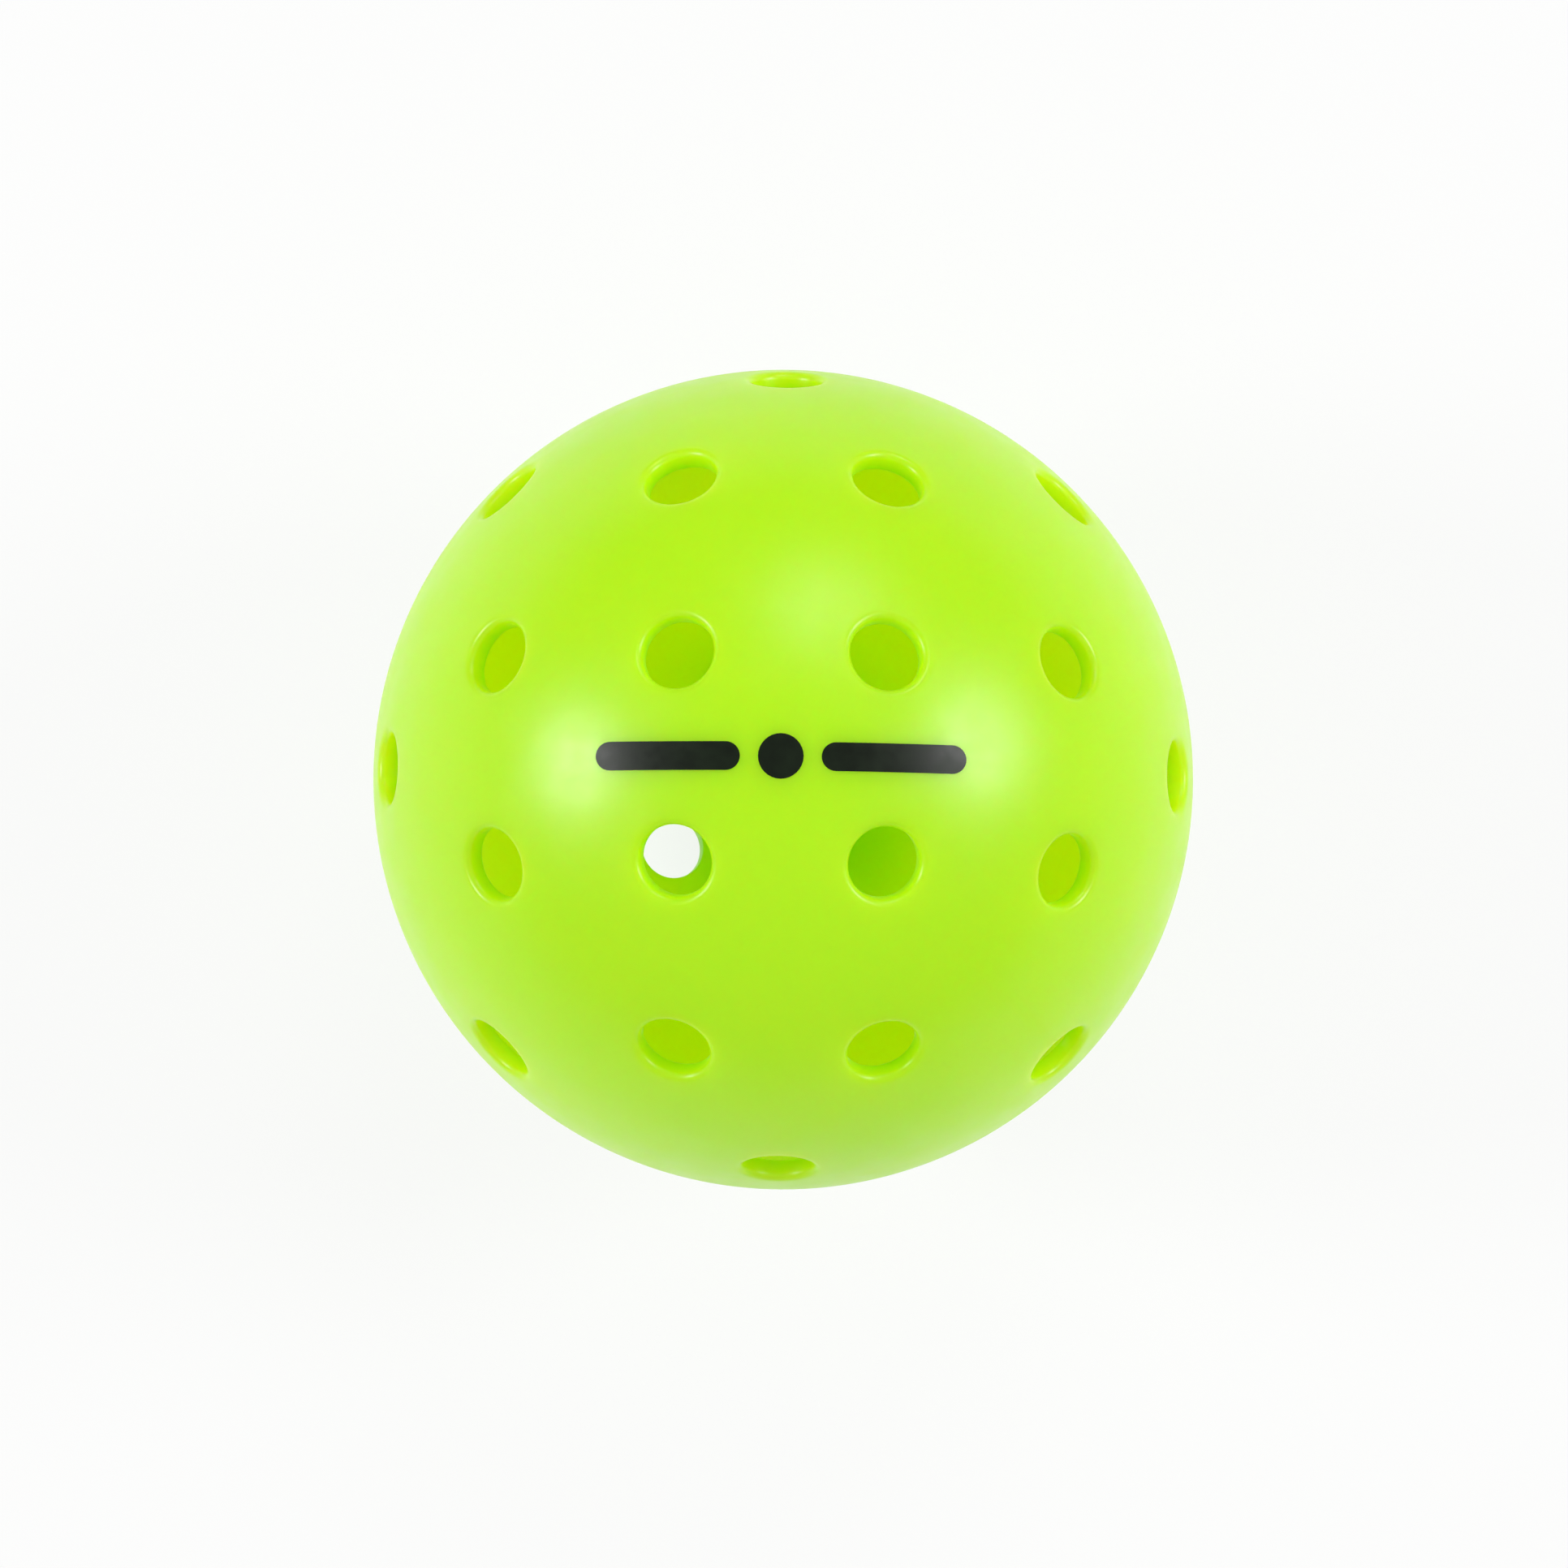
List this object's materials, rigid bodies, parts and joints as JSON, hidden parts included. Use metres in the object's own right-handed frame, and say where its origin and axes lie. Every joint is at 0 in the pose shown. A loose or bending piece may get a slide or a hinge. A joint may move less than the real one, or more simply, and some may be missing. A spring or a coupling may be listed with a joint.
{
  "type": "pickleball",
  "caption": "Hollow perforated court ball of moulded half shells, welded at a tongue-and-groove seam, with rings of round holes and a plain printed bar mark on its pole.",
  "frame": {"origin": "centre of the ball", "axes": "+Z through the pole of the half with the printed mark, square to the welded seam, which lies in the XY plane; +X along the printed mark's bars"},
  "size_m": [0.074, 0.074, 0.0741],
  "materials": {
    "lime_plastic": "satin moulded polyethylene, neon lime",
    "weld_plastic": "solidified melt of the same plastic",
    "print_ink": "pad-printed ink"
  },
  "bodies": {
    "root": {"upper_half_shell": "lime_plastic", "lower_half_shell": "lime_plastic", "weld_ring": "weld_plastic", "printed_mark": "print_ink"}
  },
  "joints": []
}
